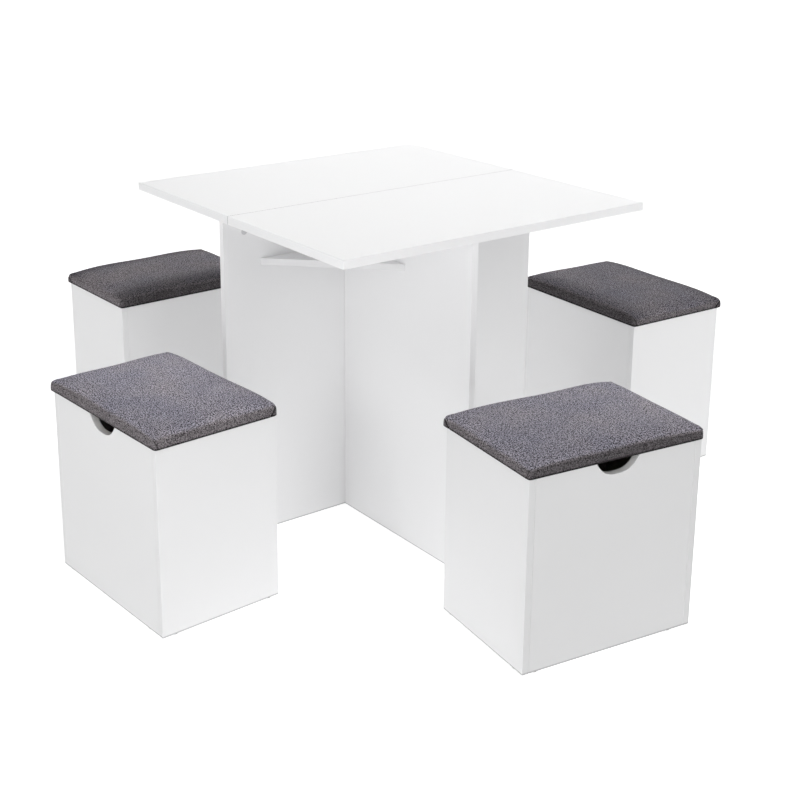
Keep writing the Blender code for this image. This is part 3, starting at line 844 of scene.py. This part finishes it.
def make_staples():
    """Staples along the two long hems under each lid, where the hem lies inside the box's walls. Each crown
    is a round wire that turns up into the board at both ends, by the square of the way past its bend."""
    along, sides = np.linspace(-1, 1, 13)[:, None], 6
    bent = ((np.abs(along) - staple_bend_share) / (1 - staple_bend_share)).clip(0, 1)
    around = np.arange(sides) * (2 * math.pi / sides)
    ring_y, ring_z = np.cos(around) * staple_wire, np.sin(around) * staple_wire
    x, z = along * staple_length / 2, staple_rise * bent**2 - staple_wire
    points = np.stack([x + 0 * ring_y, 0 * x + ring_y, z + ring_z], -1).reshape(-1, 3)
    caps = [[*range(sides)], [*range(len(points) - 1, len(points) - 1 - sides, -1)]]
    faces = [*map(list, grid_faces(len(along), sides)), *caps]
    row_y = box_half_y - panel_thick - staple_setback
    for name in STOOLS:
        stool = stool_frame(name)
        chance = np.random.default_rng(len(name))
        spots = []
        for sy in (-1, 1):
            for row_x in np.arange(-staple_row_reach, staple_row_reach + staple_pitch / 2, staple_pitch):
                shift = chance.uniform(-staple_drift, staple_drift)
                turn = Matrix.Rotation(chance.uniform(-staple_turn, staple_turn), 4, "Z")
                at = Matrix.Translation((row_x + shift, sy * row_y, lid_low + hem_drop))
                spots.append(stool @ at @ turn)
        piece = new_piece(f"{name}_staples", *many(points, faces, spots))
        piece.data.materials.append(screw_steel)
        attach(piece, f"{name}_lid")


# Studio


def make_studio():
    """A pale floor that glows softly and shows white, a backdrop that shows white and lights nothing, broad
    distant lamps, and square light panels that stand round the set and face the table."""
    corners = [(sx * floor_reach, sy * floor_reach, 0) for sx, sy in ((-1, -1), (1, -1), (1, 1), (-1, 1))]
    floor = new_piece("floor", corners, [(0, 1, 2, 3)])
    floor.location.z = -floor_drop
    made, shader = new_material("pale_floor", 0.9)
    shader.inputs["Base Color"].default_value = (*floor_tone, 1)
    shader.inputs["Specular IOR Level"].default_value = 0.0
    tree = made.node_tree
    shader.inputs["Emission Color"].default_value = (1, 1, 1, 1)
    glow = maths(tree, "MULTIPLY_ADD", seen_directly(tree), floor_lift, floor_glow)
    tree.links.new(glow, shader.inputs["Emission Strength"])
    floor.data.materials.append(made)

    world = bpy.data.worlds.new("studio")
    world.use_nodes = True
    bpy.context.scene.world = world
    tree = world.node_tree
    tree.nodes.clear()
    backdrop = node(tree, "ShaderNodeBackground", Color=(1, 1, 1, 1))
    end = tree.nodes.new("ShaderNodeOutputWorld")
    tree.links.new(seen_directly(tree), backdrop.inputs["Strength"])
    tree.links.new(backdrop.outputs[0], end.inputs["Surface"])

    for name, (bearing, height, spread, strength) in LAMPS.items():
        data = bpy.data.lights.new(name, "SUN")
        data.energy = strength
        data.angle = math.radians(spread)
        lamp = bpy.data.objects.new(name, data)
        turn, lift = math.radians(bearing), math.radians(height)
        away = Vector((math.cos(turn) * math.cos(lift), math.sin(turn) * math.cos(lift), math.sin(lift)))
        lamp.rotation_euler = away.to_track_quat("Z", "Y").to_euler()
        bpy.context.scene.collection.objects.link(lamp)

    for name, (bearing, distance, height, width, strength) in PANELS.items():
        data = bpy.data.lights.new(name, "AREA")
        data.energy = strength
        data.size = width
        lamp = bpy.data.objects.new(name, data)
        turn = math.radians(bearing)
        away = Vector((math.cos(turn) * distance, math.sin(turn) * distance, height))
        lamp.location = table_middle + away
        lamp.rotation_euler = (away - Vector((0, 0, panel_aim))).to_track_quat("Z", "Y").to_euler()
        bpy.context.scene.collection.objects.link(lamp)


def seen_directly(tree):
    """One for what the camera, a gloss or a glass shows, and nought for the light that falls on the set."""
    rays = tree.nodes.new("ShaderNodeLightPath")
    plain = maths(tree, "MAXIMUM", rays.outputs["Is Camera Ray"], rays.outputs["Is Glossy Ray"])
    return maths(tree, "MAXIMUM", plain, rays.outputs["Is Transmission Ray"])


def make_camera():
    """The photograph's viewpoint."""
    data = bpy.data.cameras.new("viewpoint")
    data.sensor_width = 36
    data.lens = focal_pixels / picture_width * data.sensor_width
    data.shift_x = (picture_width / 2 - centre_pixel[0]) / picture_width
    data.shift_y = (centre_pixel[1] - picture_width / 2) / picture_width
    data.clip_end = 200
    camera = bpy.data.objects.new("viewpoint", data)
    cos, sin = math.cos, math.sin
    right = Vector((sin(camera_yaw), -cos(camera_yaw), 0))
    level = cos(camera_pitch)
    back = -Vector((cos(camera_yaw) * level, sin(camera_yaw) * level, -sin(camera_pitch)))
    up = back.cross(right)
    turn = Matrix((right, up, back)).transposed()
    camera.matrix_world = Matrix.Translation(table_middle + camera_from_table) @ turn.to_4x4()
    bpy.context.scene.collection.objects.link(camera)
    bpy.context.scene.camera = camera


# Finishes


def dress_table():
    """The table's boards, copies of one white with painted light by the axis across them, the cams' caps and
    the plates.
    """
    across = {"x": (1, 0, 0), "y": (0, 1, 0), "z": (0, 0, 1)}
    boards = {
        axis: board_material(f"white_board_painted_light_{axis}", way, TABLE_PAINTED_LIGHT[axis], table_band_white_and_light, base_foot)
        for axis, way in across.items()
    }
    gusset_board_painted_light = board_material("gusset_board_painted_light", across["z"], gusset_painted_light, gusset_band_white_and_light, base_foot)
    seam_line(boards["z"])
    for name in ("top_front_half", "top_back_half"):
        dress(name, boards["z"])
    for name in ("front_left", "front_right", "back_right", "back_left"):
        dress(f"gusset_{name}", gusset_board_painted_light)
    for name, axis in (("front", "x"), ("back", "x"), ("left", "y"), ("right", "y")):
        dress(f"base_board_{name}", boards[axis])
        dress(f"cam_fitting_{name}", cam_cap)
    for name in ("left", "right"):
        dress(f"joining_plate_{name}", plate_steel)


def dress_stool(name):
    """One box's panels, which look along its own axes and take painted light by the way they face, and the
    lid's raw board.
    """
    turn = Matrix.Rotation(math.radians(STOOLS[name]), 3, "Z")
    # Painted light: the sides' and the face's white, by the way they face
    sheet, face_painted_light = STOOL_PAINTED_LIGHT[name]
    band = side_band_light_share * face_painted_light
    side_board_painted_light = board_material(f"{name}_side_board_painted_light", turn @ Vector((1, 0, 0)), sheet, band, box_foot)
    face_way = turn @ Vector((0, 1, 0))
    face_board_painted_light = board_material(f"{name}_face_board_painted_light", face_way, face_painted_light, face_band_white_and_light, box_foot)
    for panel in ("left_side", "right_side"):
        dress(f"{name}_{panel}", side_board_painted_light)
    for panel in ("face_panel", "rear_panel"):
        dress(f"{name}_{panel}", face_board_painted_light)
    dress(f"{name}_floor_panel", floor_board)
    dress(f"{name}_lid_board", raw_board)


make_camera()
make_studio()
bpy.context.scene.view_settings.view_transform = "Standard"

board_face = board_face_group()
edge_band = edge_band_group()
weave_cloth = weave_group()
dark_glide = plain_material("dark_glide", (0.03, 0.03, 0.03), 0.5, 0.0, 400, 0.2)
raw_board = plain_material("raw_board", (0.55, 0.43, 0.30), 0.85, 0.0, 260, 0.35)
floor_board = plain_material("floor_board", (0.80, 0.80, 0.81), 0.6, 0.0, 200, 0.03)
screw_steel = plain_material("screw_steel", (0.56, 0.55, 0.52), 0.40, 1.0, 700, 0.10)
plate_steel = plain_material("plate_steel", (0.60, 0.60, 0.61), 0.35, 1.0, 300, 0.06)
cam_zinc = plain_material("cam_zinc", (0.52, 0.53, 0.55), 0.45, 1.0, 500, 0.08)
cam_cap = plain_material("cam_cap", (0.66, 0.66, 0.67), 0.5, 0.0, 500, 0.05)

dress_table()
for stool_name in STOOLS:
    dress_stool(stool_name)
make_lids()
make_glides()
make_plate_screws()
make_box_cams()
make_staples()
